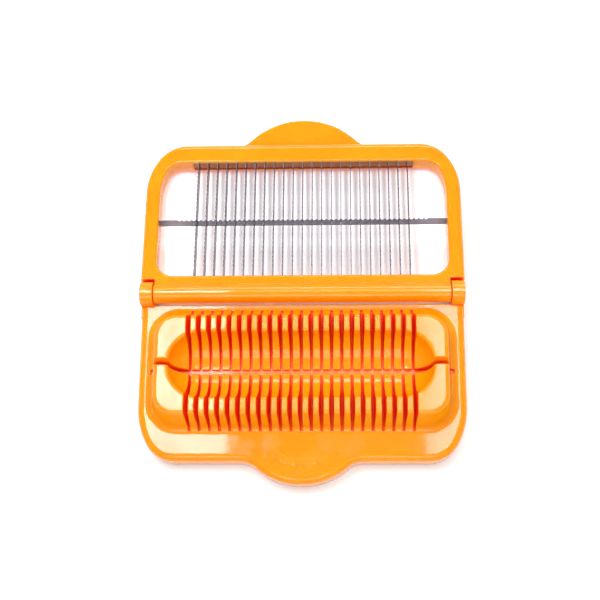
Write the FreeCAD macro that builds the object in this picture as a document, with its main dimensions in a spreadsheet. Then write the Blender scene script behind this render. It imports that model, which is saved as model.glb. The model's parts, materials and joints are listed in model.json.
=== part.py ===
import FreeCAD, Part
import Sketcher
import math
import os

# Sausage slicer: a moulded tray with a slotted trough, and a hinged lid frame strung with steel blades.
# The lid is built in its own frame, closed, with the hinge axis as its X axis, and is then laid open.
# World frame: +X to the right, +Y from the finger tab of the tray to the laid-open lid, +Z up,
# origin on the table under the middle of the whole laid-open slicer.  Millimetres.

SIZES = [
    # tray
    ("front_flange", 16.2, "flange in front of the block"),
    ("tray_height", 14.5, "table to the flat flange of the tray"),
    ("tray_wall", 2.5, "thickness of the skirt"),
    ("tray_floor", 4.0, "thickness of the flange and of the floor under the trough"),
    ("tray_edge", 3.4, "rounding of the top outer edge"),
    ("corner_across", 19.0, "length of an outer corner along the front edge"),
    ("corner_along", 27.0, "length of an outer corner along the side"),
    ("corner_radius", 16.0, "tight radius of an outer corner"),
    ("tab_radius", 35.0, "radius of the tray's finger tab"),
    ("tab_reach", 11.2, "reach of the tray's finger tab beyond the front edge"),
    ("edge_margin", 0.5, "distance from a face within which its edges stay sharp"),
    ("tab_root", 12.0, "hollow radius where the tray's tab leaves the edge"),
    ("grip_rise", 0.2, "height of the grip band above the flange"),
    ("grip_stud_rise", 0.2, "height of the grip's studs above the band"),
    ("grip_root", 0.2, "depth to which the grip band runs into the flange"),
    ("grip_half_turn", 35.5, "half the turn of the grip band round the tab, degrees"),
    ("grip_end", 0.52, "radius of the band's ends as a share of its width"),
    ("grip_stud_turn", 7.6, "turn between neighbouring studs, degrees"),
    ("grip_width", 7.0, "width of the grip band"),
    ("grip_margin", 5.2, "grip band from the rim of the finger tab"),
    ("grip_stud", 1.15, "radius of a stud of the grip"),
    # block
    ("block_rim", 8.05, "width of the block's top beside the trough"),
    ("block_end_rim", 6.65, "width of the block's top beyond the trough's ends"),
    ("block_corner", 10.0, "corner radius of the block at its top"),
    ("block_draft", 16.0, "slope of the block's long sides, degrees"),
    ("block_end_draft", 9.0, "slope of the block's ends, degrees"),
    ("block_edge", 2.0, "rounding of the block's top edge"),
    ("block_foot", 4.0, "hollow rounding between block and flange"),
    ("trough_radius", 16.2, "radius of the trough"),
    ("trough_end", 9.6, "last cross slot to the end of the trough"),
    ("trough_floor", 1.1, "height of the trough's lowest line above the flange"),
    ("trough_lift", 1.3, "height of the trough's centre line above the rim"),
    ("trough_edge", 1.6, "rounding of the trough's rim"),
    ("hinge_room", 10.2, "foot of the block to the hinge axis"),
    # cuts
    ("cut_count", 23, "number of cross blades and of slots for them"),
    ("cut_pitch", 5.0, "distance between neighbouring cuts"),
    ("slot_top", 2.4, "width of a cross slot at the rim"),
    ("slot_bottom", 1.2, "width of a cross slot at its floor"),
    ("slot_sink", 1.0, "depth of the slots below the flange"),
    ("slot_overrun", 1.7, "length of the slots beyond the block's foot"),
    ("slot_rise", 1.0, "height to which the slots are cut above the rim"),
    ("long_slot_flare", 3.0, "depth of the widened mouth of the long slot"),
    ("long_slot_gap", 0.8, "space on each side of the sweep of the long blade"),
    ("long_slot_mouth", 0.7, "extra width of the long slot on each side at the rim"),
    # hinge
    ("hinge_rise", 2.2, "height of the hinge axis above the flange"),
    ("ear_radius", 6.0, "radius of the tray's hinge ears"),
    ("ear_width", 6.3, "width of an ear"),
    ("barrel_radius", 4.8, "radius of the lid's hinge barrel"),
    ("hinge_side_gap", 0.4, "space between an ear and the barrel"),
    ("hinge_turn_gap", 0.7, "space between the barrel and the tray"),
    ("pin_radius", 1.5, "radius of a hinge pin"),
    ("pin_play", 0.05, "radial play of a pin in the barrel"),
    ("pin_grip", 12.0, "depth of a pin in the barrel"),
    ("pin_head_radius", 2.6, "radius of the head of a pin"),
    ("pin_head_height", 1.2, "height of the head of a pin"),
    ("pin_sink", 0.1, "top of a pin's head below the face of its ear"),
    ("pin_chamfer", 0.4, "chamfer of a pin's tip and head"),
    # lid
    ("side_bar", 7.6, "width of the lid's side bars"),
    ("lid_overhang", 0.8, "how far the lid is wider than the tray on each side"),
    ("lid_reach_over", 0.5, "how far the closed lid reaches past the front of the tray"),
    ("lid_thickness", 10.0, "thickness of the lid"),
    ("lid_gap", 0.6, "space between the closed lid and the flange"),
    ("lid_edge", 3.0, "rounding of the lid's outer edges"),
    ("lid_inner_edge", 1.2, "rounding of the lid's window edges"),
    ("lid_corner_across", 21.0, "length of an outer lid corner along the far edge"),
    ("lid_corner_along", 27.0, "length of an outer lid corner along the side"),
    ("lid_corner_radius", 18.0, "tight radius of an outer lid corner"),
    ("lid_wall", 2.2, "thickness of the walls of the lid shells"),
    ("lid_skin", 2.0, "thickness of the faces of the lid shells"),
    ("side_bar_start", 7.5, "hinge axis to the ends of the lid's side bars"),
    ("window_play", 0.8, "side of the window to the foot of the block when closed"),
    ("window_step", 0.7, "near edge of the window to the foot of the block when closed"),
    ("far_bar", 11.0, "width of the lid's far bar"),
    ("window_across", 11.0, "length of a far window corner along the far edge"),
    ("window_along", 18.0, "length of a far window corner along the side"),
    ("window_radius", 9.0, "tight radius of a far window corner"),
    ("window_near_radius", 9.0, "radius of the near window corners"),
    ("lift_radius", 38.0, "radius of the lid's lifting tab"),
    ("lift_reach", 17.0, "reach of the lifting tab beyond the far edge"),
    ("lift_root", 18.0, "hollow radius where the lifting tab leaves the edge"),
    ("lift_thickness", 3.6, "thickness of the lifting tab"),
    ("cover_edge", 1.8, "rounding of the upper outer edge of the lid and its tab"),
    ("table_gap", 0.05, "space between the laid-open lifting tab and the table"),
    # blades
    ("blade_thickness", 0.4, "thickness of every blade"),
    ("blade_share", 0.7, "share of the lid's thickness that a blade fills"),
    ("blade_offset", 1.0, "long blade beyond the middle of the trough"),
    ("blade_gap", 0.06, "space on each side of a blade in a notch or comb"),
    ("blade_end_gap", 0.1, "space between a blade and the window wall"),
    ("tooth_pitch", 2.5, "distance between teeth"),
    ("tooth_depth", 1.2, "depth of the gaps between teeth"),
    ("tooth_root", 0.30, "share of a tooth's pitch before the narrow end of its gap"),
    ("tooth_mouth", 0.12, "share of a tooth's pitch before the wide end of its gap"),
    ("cross_plain", 3.0, "least plain length at each end of a cross blade"),
    ("long_plain", 9.0, "least plain length at each end of the long blade"),
    ("neck_step", 2.0, "height of a cross blade below its neck"),
    ("head_room", 0.6, "comb strip above and below the end of a cross blade"),
    ("head_length", 2.1, "length of a cross blade's end behind its comb"),
    ("long_neck_share", 0.3, "share of the lid's thickness that the long blade's neck fills"),
    ("long_head_room", 0.3, "space above and below the long blade's end in the side bar"),
    ("comb_thickness", 1.0, "thickness of the comb strips"),
    ("comb_recess", 0.6, "depth of the comb strips behind the window wall"),
    ("comb_low_skin", 0.8, "lid face left below the comb strips"),
    ("comb_high_skin", 1.0, "lid face left above the comb strips"),
    ("comb_margin", 3.3, "comb strip beyond the last blade"),
    ("comb_lip", 0.4, "edge of a comb strip hidden in its groove"),
    ("seat_gap", 0.1, "space round the comb strips and blade ends"),
    ("pin_hole_end", 0.3, "space between the tip of a pin and the end of its hole"),
    ("overcut", 0.5, "how far a cut runs past the face that it opens"),
    ("shell_overcut", 0.01, "how far a shell's hollows run past the face where the shells meet"),
]


class Size:
    """A length known both as a number and as the sheet expression that drives it."""

    def __init__(self, value, text):
        self.value = float(value)
        self.text = text

    def __add__(self, other):
        return joined(self, "+", other)

    def __radd__(self, other):
        return joined(other, "+", self)

    def __sub__(self, other):
        return joined(self, "-", other)

    def __rsub__(self, other):
        return joined(other, "-", self)

    def __mul__(self, other):
        return joined(self, "*", other)

    def __rmul__(self, other):
        return joined(other, "*", self)

    def __truediv__(self, other):
        return joined(self, "/", other)

    def __neg__(self):
        return Size(-self.value, "(-%s)" % self.text)


def as_size(number):
    if isinstance(number, Size):
        return number
    return Size(number, "(%r)" % float(number))


def joined(left, sign, right):
    left = as_size(left)
    right = as_size(right)
    results = {
        "+": left.value + right.value,
        "-": left.value - right.value,
        "*": left.value * right.value,
        "/": left.value / right.value if right.value else 0.0,
    }
    return Size(results[sign], "(%s%s%s)" % (left.text, sign, right.text))


def root(size):
    return Size(math.sqrt(size.value), "sqrt(%s)" % size.text)


def tangent(size):
    return Size(math.tan(math.radians(size.value)), "tan(%s)" % size.text)


def sine(size):
    return Size(math.sin(math.radians(size.value)), "sin(%s)" % size.text)


def cosine(size):
    return Size(math.cos(math.radians(size.value)), "cos(%s)" % size.text)


def whole(size):
    return Size(math.floor(size.value), "floor(%s)" % size.text)


doc = FreeCAD.newDocument("SausageSlicer")
sheet = doc.addObject("Spreadsheet::Sheet", "sizes")
for row, (alias, value, meaning) in enumerate(SIZES, start=1):
    sheet.set("A%d" % row, alias)
    sheet.set("B%d" % row, str(value))
    sheet.set("C%d" % row, meaning)
    sheet.setAlias("B%d" % row, alias)
doc.recompute()


def cell(alias):
    """The value of a sheet cell, with the expression that reads it."""
    return Size(getattr(sheet, alias), "sizes.%s" % alias)


# ---------------------------------------------------------------------------------------------
# Bodies, sketches and features
# ---------------------------------------------------------------------------------------------

def new_body(label):
    body = doc.addObject("PartDesign::Body", label)
    body.Label = label
    return body


def drive(thing, prop, size):
    """Set a property from a size, so that it follows the sheet."""
    thing.setExpression(prop, as_size(size).text)


def new_sketch(body, name, role, offset=0.0):
    """A sketch on one of the body's own planes, moved along the plane's normal by offset."""
    plane = [item for item in body.Origin.OriginFeatures if item.Role == role][0]
    sketch = body.newObject("Sketcher::SketchObject", name)
    sketch.AttachmentSupport = [(plane, "")]
    sketch.MapMode = "FlatFace"
    drive(sketch, "AttachmentOffset.Base.z", offset)
    return sketch


def arc_between(start, end, radius, turn):
    """The short arc from start to end; turn is +1 for anticlockwise, -1 for clockwise."""
    chord = end - start
    middle = (start + end) * 0.5
    side = FreeCAD.Vector(-chord.y, chord.x, 0).normalize()
    height = math.sqrt(max(radius ** 2 - (chord.Length / 2) ** 2, 0.0))
    centre = middle + side * height * turn
    circle = Part.Circle(centre, FreeCAD.Vector(0, 0, 1), radius)
    first, last = (start, end) if turn > 0 else (end, start)
    first_angle = math.atan2(first.y - centre.y, first.x - centre.x)
    last_angle = math.atan2(last.y - centre.y, last.x - centre.x)
    return Part.ArcOfCircle(circle, first_angle, last_angle)


def draw(sketch, corners):
    """Draw one closed outline.

    Each corner is (x, y) where a straight side follows, or (x, y, radius, turn) where an arc does.
    """
    points = [FreeCAD.Vector(as_size(corner[0]).value, as_size(corner[1]).value, 0) for corner in corners]
    count = len(corners)
    first = sketch.GeometryCount
    ends = []
    for index, corner in enumerate(corners):
        start, end = points[index], points[(index + 1) % count]
        if len(corner) == 2:
            sketch.addGeometry(Part.LineSegment(start, end), False)
            ends.append((1, 2))
        else:
            radius, turn = as_size(corner[2]), corner[3]
            sketch.addGeometry(arc_between(start, end, radius.value, turn), False)
            ends.append((1, 2) if turn > 0 else (2, 1))
            number = sketch.addConstraint(Sketcher.Constraint("Radius", first + index, radius.value))
            sketch.setExpression("Constraints[%d]" % number, radius.text)
    for index, corner in enumerate(corners):
        following = (index + 1) % count
        here, there = first + index, first + following
        touch = Sketcher.Constraint("Coincident", here, ends[index][1], there, ends[following][0])
        sketch.addConstraint(touch)
        for kind, size in (("DistanceX", corner[0]), ("DistanceY", corner[1])):
            size = as_size(size)
            rule = Sketcher.Constraint(kind, -1, 1, here, ends[index][0], size.value)
            number = sketch.addConstraint(rule)
            sketch.setExpression("Constraints[%d]" % number, size.text)


def draw_circle(sketch, centre_x, centre_y, radius):
    radius = as_size(radius)
    centre = FreeCAD.Vector(as_size(centre_x).value, as_size(centre_y).value, 0)
    circle = Part.Circle(centre, FreeCAD.Vector(0, 0, 1), radius.value)
    index = sketch.addGeometry(circle, False)
    for rule, size in (
        (Sketcher.Constraint("Radius", index, radius.value), radius),
        (Sketcher.Constraint("DistanceX", -1, 1, index, 3, centre.x), as_size(centre_x)),
        (Sketcher.Constraint("DistanceY", -1, 1, index, 3, centre.y), as_size(centre_y)),
    ):
        number = sketch.addConstraint(rule)
        sketch.setExpression("Constraints[%d]" % number, size.text)


def box_corners(left, right, low, high):
    return [(left, low), (right, low), (right, high), (left, high)]


def pad(body, name, sketch, length, draft=None):
    feature = body.newObject("PartDesign::Pad", name)
    feature.Profile = sketch
    drive(feature, "Length", length)
    if draft is not None:
        drive(feature, "TaperAngle", draft)
    doc.recompute()
    return feature


def loft(body, name, low_sketch, high_sketch):
    feature = body.newObject("PartDesign::AdditiveLoft", name)
    feature.Profile = low_sketch
    feature.Sections = [high_sketch]
    feature.Ruled = True
    doc.recompute()
    return feature


def pocket(body, name, sketch, length, reverse=False, both_ways=False):
    """Cut a sketch into the body, and make sure that it took something away."""
    before = body.Tip.Shape.Volume
    feature = body.newObject("PartDesign::Pocket", name)
    feature.Profile = sketch
    feature.Reversed = reverse
    feature.Midplane = both_ways
    drive(feature, "Length", length)
    doc.recompute()
    if feature.Shape.Volume >= before:
        raise RuntimeError("%s cuts nothing" % name)
    return feature


def repeat_across(body, name, original, span, count):
    """Repeat a feature along X, count times over span."""
    pattern = body.newObject("PartDesign::LinearPattern", name)
    pattern.Originals = [original]
    pattern.Direction = (original.Profile[0], ["H_Axis"])
    drive(pattern, "Length", span)
    drive(pattern, "Occurrences", count)
    body.Tip = pattern
    doc.recompute()
    return pattern


def mirror_across(body, name, originals):
    """Repeat features on the other side of the body's YZ plane."""
    mirror = body.newObject("PartDesign::Mirrored", name)
    mirror.Originals = originals
    plane = [item for item in body.Origin.OriginFeatures if item.Role == "YZ_Plane"][0]
    mirror.MirrorPlane = (plane, [""])
    body.Tip = mirror
    doc.recompute()
    return mirror


def round_edges(body, name, radius, wanted):
    """Fillet the edges of the body's tip for which wanted(edge) holds."""
    tip = body.Tip
    names = ["Edge%d" % (number + 1) for number, edge in enumerate(tip.Shape.Edges) if wanted(edge)]
    if not names:
        raise RuntimeError("%s finds no edge" % name)
    feature = body.newObject("PartDesign::Fillet", name)
    feature.Base = (tip, names)
    drive(feature, "Radius", radius)
    doc.recompute()
    if feature.Shape.isNull() or not feature.Shape.isValid():
        raise RuntimeError("%s fails" % name)
    return feature


def at_height(height, inside=None):
    """A test for edges that lie at one height, and whose middle passes the test inside(x, y)."""
    def wanted(edge):
        box = edge.BoundBox
        if abs(box.ZMin - height) > 0.01 or abs(box.ZMax - height) > 0.01:
            return False
        middle = edge.valueAt((edge.FirstParameter + edge.LastParameter) / 2)
        return inside is None or inside(middle.x, middle.y)
    return wanted


def soft_corner(across, along, radius):
    """Where a corner of two tangent arcs changes arc, and the radius of its gentle arc.

    The corner runs across along one side with the tight radius, and along the other with the gentle one.
    """
    rest = along - radius
    gentle = (across * across + rest * rest - radius * radius) / (2.0 * (across - radius))
    share = radius / (gentle - radius)
    return across - share * (gentle - across), radius - share * rest, gentle


def inset(corner, wall):
    across, along, radius = corner
    return across - wall, along - wall, radius - wall


def tab_points(edge, reach, radius, hollow):
    """The arcs of a rounded tab in the middle of an edge that faces -Y, from left to right."""
    depth = radius - reach
    spread = root((radius + hollow) * (radius + hollow) - (depth + hollow) * (depth + hollow))
    share = radius / (radius + hollow)
    join_x = share * spread
    join_y = edge + depth - share * (depth + hollow)
    return [
        (-spread, edge, hollow, -1),
        (-join_x, join_y, radius, 1),
        (join_x, join_y, hollow, -1),
        (spread, edge),
    ]


# ---------------------------------------------------------------------------------------------
# Places that several pieces share
# ---------------------------------------------------------------------------------------------

# The block grows with the trough and its slots, the window with the block, and the tray with both.
cut_span = cell("cut_pitch") * (cell("cut_count") - 1)
block_rise = cell("trough_radius") - cell("trough_lift") + cell("trough_floor")
trough_half_length = cut_span / 2 + cell("trough_end")
trough_half_width = root(cell("trough_radius") * cell("trough_radius")
                         - cell("trough_lift") * cell("trough_lift"))
block_half_length = trough_half_length + cell("block_end_rim")
block_half_width = trough_half_width + cell("block_rim")
side_spread = block_rise * tangent(cell("block_draft"))
end_spread = block_rise * tangent(cell("block_end_draft"))
foot_half_length = block_half_length + end_spread
foot_half_width = block_half_width + side_spread
trough_to_hinge = foot_half_width + cell("hinge_room")
tray_front = foot_half_width + cell("front_flange")

window_half_width = foot_half_length + cell("window_play")
lid_half_width = window_half_width + cell("side_bar")
tray_half_width = lid_half_width - cell("lid_overhang")
window_near = cell("hinge_room") - cell("window_step")
lid_far = trough_to_hinge + tray_front + cell("lid_reach_over")
window_far = lid_far - cell("far_bar")
blade_distance = trough_to_hinge + cell("blade_offset")

hinge_height = cell("tray_height") + cell("hinge_rise")
rim_height = cell("tray_height") + block_rise
slot_floor = cell("tray_height") - cell("slot_sink")
ear_inside = tray_half_width - cell("ear_width")
barrel_half_length = ear_inside - cell("hinge_side_gap")

lid_low = cell("lid_gap") - cell("hinge_rise")
lid_high = lid_low + cell("lid_thickness")
lid_middle = lid_low + cell("lid_thickness") / 2
blade_low = lid_low
blade_height = cell("lid_thickness") * cell("blade_share")
blade_high = blade_low + blade_height
lap_height = blade_low + blade_height / 2
comb_low = lid_low + cell("comb_low_skin")
comb_high = lid_high - cell("comb_high_skin")
head_height = comb_high - comb_low - 2 * cell("head_room")
comb_half_length = cut_span / 2 + cell("comb_margin")
notch_width = cell("blade_thickness") + 2 * cell("blade_gap")
groove = cell("lid_thickness") / 2 - cell("lid_skin")
long_neck_height = cell("lid_thickness") * cell("long_neck_share")
long_head_height = 2 * groove - 2 * cell("long_head_room")

# How far the laid-open lid leans down until its lifting tab rests on the table.
lean_out = lid_far + cell("lift_reach") - cell("cover_edge")
lean_up = lid_high - cell("cover_edge")
lean_length = root(lean_out * lean_out + lean_up * lean_up)
lean_drop = hinge_height - cell("table_gap") - cell("cover_edge")
open_angle = Size(
    180 + math.degrees(math.asin(lean_drop.value / lean_length.value)
                       - math.atan(lean_up.value / lean_out.value)),
    "(180 deg+asin(%s/%s)-atan(%s/%s))" % (lean_drop.text, lean_length.text, lean_up.text, lean_out.text))

# The whole laid-open slicer is centred on the origin, so the hinge axis stands a little off it.
lean_sine = Size(math.sin(math.radians(open_angle.value - 180)), "sin(%s-180 deg)" % open_angle.text)
lean_cosine = Size(math.cos(math.radians(open_angle.value - 180)), "cos(%s-180 deg)" % open_angle.text)
lid_reach = lean_out * lean_cosine - lean_up * lean_sine + cell("cover_edge")
tray_reach = trough_to_hinge + tray_front + cell("tab_reach")
hinge_y = (tray_reach - lid_reach) / 2
trough_y = hinge_y - trough_to_hinge


def place_on_tray(part):
    """Tray pieces are drawn with the middle of the trough at their origin, on the table."""
    drive(part, "Placement.Base.y", trough_y)


def place_on_lid(part):
    """Lid pieces are drawn closed, round the hinge axis, and turned open."""
    part.Placement = FreeCAD.Placement(FreeCAD.Vector(), FreeCAD.Rotation(FreeCAD.Vector(1, 0, 0), -90))
    drive(part, "Placement.Rotation.Angle", -open_angle)
    drive(part, "Placement.Base.y", hinge_y)
    drive(part, "Placement.Base.z", hinge_height)


# ---------------------------------------------------------------------------------------------
# Tray
# ---------------------------------------------------------------------------------------------

def tray_outline(wall, rear):
    """The tray from above, drawn in by wall, with its rear edge at rear."""
    half = tray_half_width - wall
    front = -tray_front + wall
    across, along, radius = inset((cell("corner_across"), cell("corner_along"), cell("corner_radius")), wall)
    join_x, join_y, gentle = soft_corner(across, along, radius)
    corners = [(-half + across, front)]
    corners += tab_points(front, cell("tab_reach"), cell("tab_radius") - wall, cell("tab_root") + wall)
    corners += [
        (half - across, front, radius, 1),
        (half - join_x, front + join_y, gentle, 1),
        (half, front + along),
        (half, rear),
        (-half, rear),
        (-half, front + along, gentle, 1),
        (-half + join_x, front + join_y, radius, 1),
    ]
    return corners


def round_box(half_x, half_y, radius):
    """A rectangle with round corners about the sketch's origin."""
    return [
        (-half_x + radius, -half_y),
        (half_x - radius, -half_y, radius, 1),
        (half_x, -half_y + radius),
        (half_x, half_y - radius, radius, 1),
        (half_x - radius, half_y),
        (-half_x + radius, half_y, radius, 1),
        (-half_x, half_y - radius),
        (-half_x, -half_y + radius, radius, 1),
    ]


def make_tray():
    body = new_body("base_tray")
    hinge = trough_to_hinge
    rear = hinge - cell("barrel_radius") - cell("hinge_turn_gap")
    height = cell("tray_height")

    sketch = new_sketch(body, "tray_plan", "XY_Plane")
    draw(sketch, tray_outline(as_size(0), rear))
    pad(body, "tray_solid", sketch, height)
    limit = (rear - cell("edge_margin")).value
    round_edges(body, "tray_top_edge", cell("tray_edge"),
                at_height(height.value, lambda x, y: y < limit))

    foot_sketch = new_sketch(body, "block_foot_plan", "XY_Plane", height)
    draw(foot_sketch, round_box(foot_half_length, foot_half_width, cell("block_corner") + end_spread))
    top_sketch = new_sketch(body, "block_top_plan", "XY_Plane", rim_height)
    draw(top_sketch, round_box(block_half_length, block_half_width, cell("block_corner")))
    loft(body, "block", foot_sketch, top_sketch)
    round_edges(body, "block_top_edge", cell("block_edge"), at_height(rim_height.value))
    foot_x = (foot_half_length + cell("overcut")).value
    foot_y = (foot_half_width + cell("overcut")).value
    round_edges(body, "block_foot", cell("block_foot"),
                at_height(height.value, lambda x, y: abs(x) < foot_x and abs(y) < foot_y))

    # Hinge ears, which reach back past the tray to carry the pins.
    sketch = new_sketch(body, "ear_side", "YZ_Plane", ear_inside)
    ear = cell("ear_radius")
    draw(sketch, [
        (hinge - 2 * ear, 0.0),
        (hinge + ear, 0.0),
        (hinge + ear, hinge_height, ear, 1),
        (hinge, hinge_height + ear, ear, 1),
        (hinge - ear, hinge_height),
        (hinge - ear, height - cell("slot_sink")),
        (hinge - 2 * ear, height - cell("slot_sink")),
    ])
    ear_right = pad(body, "ear_right", sketch, cell("ear_width"))
    mirror_across(body, "ears", [ear_right])

    # The hollow underside.
    wall = cell("tray_wall")
    sketch = new_sketch(body, "underside_plan", "XY_Plane")
    draw(sketch, tray_outline(wall, rear - wall))
    pocket(body, "underside", sketch, height - cell("tray_floor"), reverse=True)
    sketch = new_sketch(body, "ear_root_plan", "XY_Plane")
    draw(sketch, box_corners(ear_inside - wall, tray_half_width - wall / 2,
                             hinge - 2 * ear - wall, rear - wall / 2))
    root_right = pad(body, "ear_root_right", sketch, height - cell("tray_floor") / 2)
    mirror_across(body, "ear_roots", [root_right])

    # The trough: a long half-round hollow with round ends.
    radius = cell("trough_radius")
    axis = rim_height + cell("trough_lift")
    straight = trough_half_length - radius
    sketch = new_sketch(body, "trough_side", "XZ_Plane")
    draw(sketch, [
        (-straight - radius, axis, radius, 1),
        (-straight, axis - radius),
        (straight, axis - radius, radius, 1),
        (straight + radius, axis),
    ])
    line = sketch.addGeometry(Part.LineSegment(FreeCAD.Vector(-10, axis.value, 0),
                                               FreeCAD.Vector(10, axis.value, 0)), True)
    sketch.addConstraint(Sketcher.Constraint("PointOnObject", line, 1, 3))
    sketch.addConstraint(Sketcher.Constraint("PointOnObject", line, 2, 3))
    before = body.Tip.Shape.Volume
    trough = body.newObject("PartDesign::Groove", "trough")
    trough.Profile = sketch
    trough.ReferenceAxis = (sketch, ["Axis0"])
    trough.Angle = 360
    doc.recompute()
    if trough.Shape.Volume >= before:
        raise RuntimeError("the trough cuts nothing")
    inner_x = (block_half_length - cell("block_edge") - cell("edge_margin")).value
    inner_y = (block_half_width - cell("block_edge") - cell("edge_margin")).value
    round_edges(body, "trough_rim", cell("trough_edge"),
                at_height(rim_height.value, lambda x, y: abs(x) < inner_x and abs(y) < inner_y))

    # Cross slots, a little wider at the rim.
    reach = foot_half_width + cell("slot_overrun")
    slot_high = rim_height + cell("slot_rise")
    top_extra = (cell("slot_top") - cell("slot_bottom")) / (rim_height - slot_floor)
    mouth = cell("slot_bottom") + top_extra * (slot_high - slot_floor)
    first = -cut_span / 2
    sketch = new_sketch(body, "cross_slot_end", "XZ_Plane")
    draw(sketch, [
        (first - cell("slot_bottom") / 2, slot_floor),
        (first + cell("slot_bottom") / 2, slot_floor),
        (first + mouth / 2, slot_high),
        (first - mouth / 2, slot_high),
    ])
    slot = pocket(body, "cross_slot", sketch, 2 * reach, both_ways=True)
    repeat_across(body, "cross_slots", slot, cut_span, cell("cut_count"))

    # The long slot follows the arc on which the long blade swings about the hinge.
    gap = cell("long_slot_gap")
    half = cell("blade_thickness") / 2
    near = blade_distance - half - gap
    outer = blade_distance + half
    far = root(outer * outer + blade_high * blade_high) + gap
    floor = slot_floor - hinge_height
    flare = rim_height - cell("long_slot_flare") - hinge_height
    top = slot_high - hinge_height
    mouth = cell("long_slot_mouth")

    def on_arc(arc, level):
        return hinge - root(arc * arc - level * level), hinge_height + level

    low_near, low_far = on_arc(near, floor), on_arc(far, floor)
    high_near, high_far = on_arc(near, flare), on_arc(far, flare)
    top_near, top_far = on_arc(near, top), on_arc(far, top)
    sketch = new_sketch(body, "long_slot_side", "YZ_Plane")
    draw(sketch, [
        low_far,
        (low_near[0], low_near[1], near, -1),
        high_near,
        (top_near[0] + mouth, top_near[1]),
        (top_far[0] - mouth, top_far[1]),
        (high_far[0], high_far[1], far, 1),
    ])
    length = foot_half_length + cell("slot_overrun")
    pocket(body, "long_slot", sketch, 2 * length, both_ways=True)

    # Bores and head seats for the hinge pins.
    sketch = new_sketch(body, "pin_bore_side", "YZ_Plane")
    draw_circle(sketch, hinge, hinge_height, cell("pin_radius"))
    pocket(body, "pin_bores", sketch, 2 * tray_half_width + 2 * cell("overcut"), both_ways=True)
    sketch = new_sketch(body, "pin_seat_side", "YZ_Plane", tray_half_width)
    draw_circle(sketch, hinge, hinge_height, cell("pin_head_radius") + cell("seat_gap"))
    seat = pocket(body, "pin_seat_right", sketch, cell("pin_head_height"))
    mirror_across(body, "pin_seats", [seat])

    # A low grip band on the finger tab, with studs.
    centre = -tray_front - cell("tab_reach") + cell("tab_radius")
    add_grip(body, centre, height)
    place_on_tray(body)
    return body


def add_grip(body, centre, height):
    """A raised band concentric with the tab's rim, with a row of studs on it."""
    outer = cell("tab_radius") - cell("grip_margin")
    inner = outer - cell("grip_width")
    side, down = sine(cell("grip_half_turn")), cosine(cell("grip_half_turn"))
    cap = cell("grip_width") * cell("grip_end")
    sketch = new_sketch(body, "grip_plan", "XY_Plane", height - cell("grip_root"))
    draw(sketch, [
        (-side * outer, centre - down * outer, outer, 1),
        (side * outer, centre - down * outer, cap, 1),
        (side * inner, centre - down * inner, inner, -1),
        (-side * inner, centre - down * inner, cap, 1),
    ])
    pad(body, "grip", sketch, cell("grip_rise") + cell("grip_root"))
    studs = new_sketch(body, "grip_stud_plan", "XY_Plane", height)
    middle = (outer + inner) / 2
    for step in range(-4, 5):
        turn = cell("grip_stud_turn") * step
        draw_circle(studs, middle * sine(turn), centre - middle * cosine(turn), cell("grip_stud"))
    pad(body, "grip_studs", studs, cell("grip_rise") + cell("grip_stud_rise"))


# ---------------------------------------------------------------------------------------------
# Lid shells
# ---------------------------------------------------------------------------------------------

def lid_outline():
    """The lid's outer edge from above: side bars end short of the ears, the middle reaches the axis."""
    half, far = lid_half_width, -lid_far
    across, along, radius = (cell("lid_corner_across"), cell("lid_corner_along"), cell("lid_corner_radius"))
    join_x, join_y, gentle = soft_corner(across, along, radius)
    near = -cell("side_bar_start")
    return [
        (-half + across, far),
        (half - across, far, radius, 1),
        (half - join_x, far + join_y, gentle, 1),
        (half, far + along),
        (half, near),
        (barrel_half_length, near),
        (barrel_half_length, 0.0),
        (-barrel_half_length, 0.0),
        (-barrel_half_length, near),
        (-half, near),
        (-half, far + along, gentle, 1),
        (-half + join_x, far + join_y, radius, 1),
    ]


def window_outline():
    half, far, near = window_half_width, -window_far, -window_near
    across, along, radius = cell("window_across"), cell("window_along"), cell("window_radius")
    join_x, join_y, gentle = soft_corner(across, along, radius)
    small = cell("window_near_radius")
    return [
        (-half + across, far),
        (half - across, far, radius, 1),
        (half - join_x, far + join_y, gentle, 1),
        (half, far + along),
        (half, near - small, small, 1),
        (half - small, near),
        (-half + small, near, small, 1),
        (-half, near - small),
        (-half, far + along, gentle, 1),
        (-half + join_x, far + join_y, radius, 1),
    ]


def channel_outline():
    """The hollow inside the side bars and the far bar, in the shape of a U."""
    wall = cell("lid_wall")
    half, far = lid_half_width - wall, -lid_far + wall
    outer = inset((cell("lid_corner_across"), cell("lid_corner_along"), cell("lid_corner_radius")), wall)
    across, along, radius = outer
    join_x, join_y, gentle = soft_corner(across, along, radius)
    end = -cell("side_bar_start") - cell("window_near_radius")
    inner_half, inner_far = window_half_width + wall, -window_far - wall
    inner = inset((cell("window_across"), cell("window_along"), cell("window_radius")), -wall)
    in_across, in_along, in_radius = inner
    in_x, in_y, in_gentle = soft_corner(in_across, in_along, in_radius)
    return [
        (-half + across, far),
        (half - across, far, radius, 1),
        (half - join_x, far + join_y, gentle, 1),
        (half, far + along),
        (half, end),
        (inner_half, end),
        (inner_half, inner_far + in_along, in_gentle, -1),
        (inner_half - in_x, inner_far + in_y, in_radius, -1),
        (inner_half - in_across, inner_far),
        (-inner_half + in_across, inner_far, in_radius, -1),
        (-inner_half + in_x, inner_far + in_y, in_gentle, -1),
        (-inner_half, inner_far + in_along),
        (-inner_half, end),
        (-half, end),
        (-half, far + along, gentle, 1),
        (-half + join_x, far + join_y, radius, 1),
    ]


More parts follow.
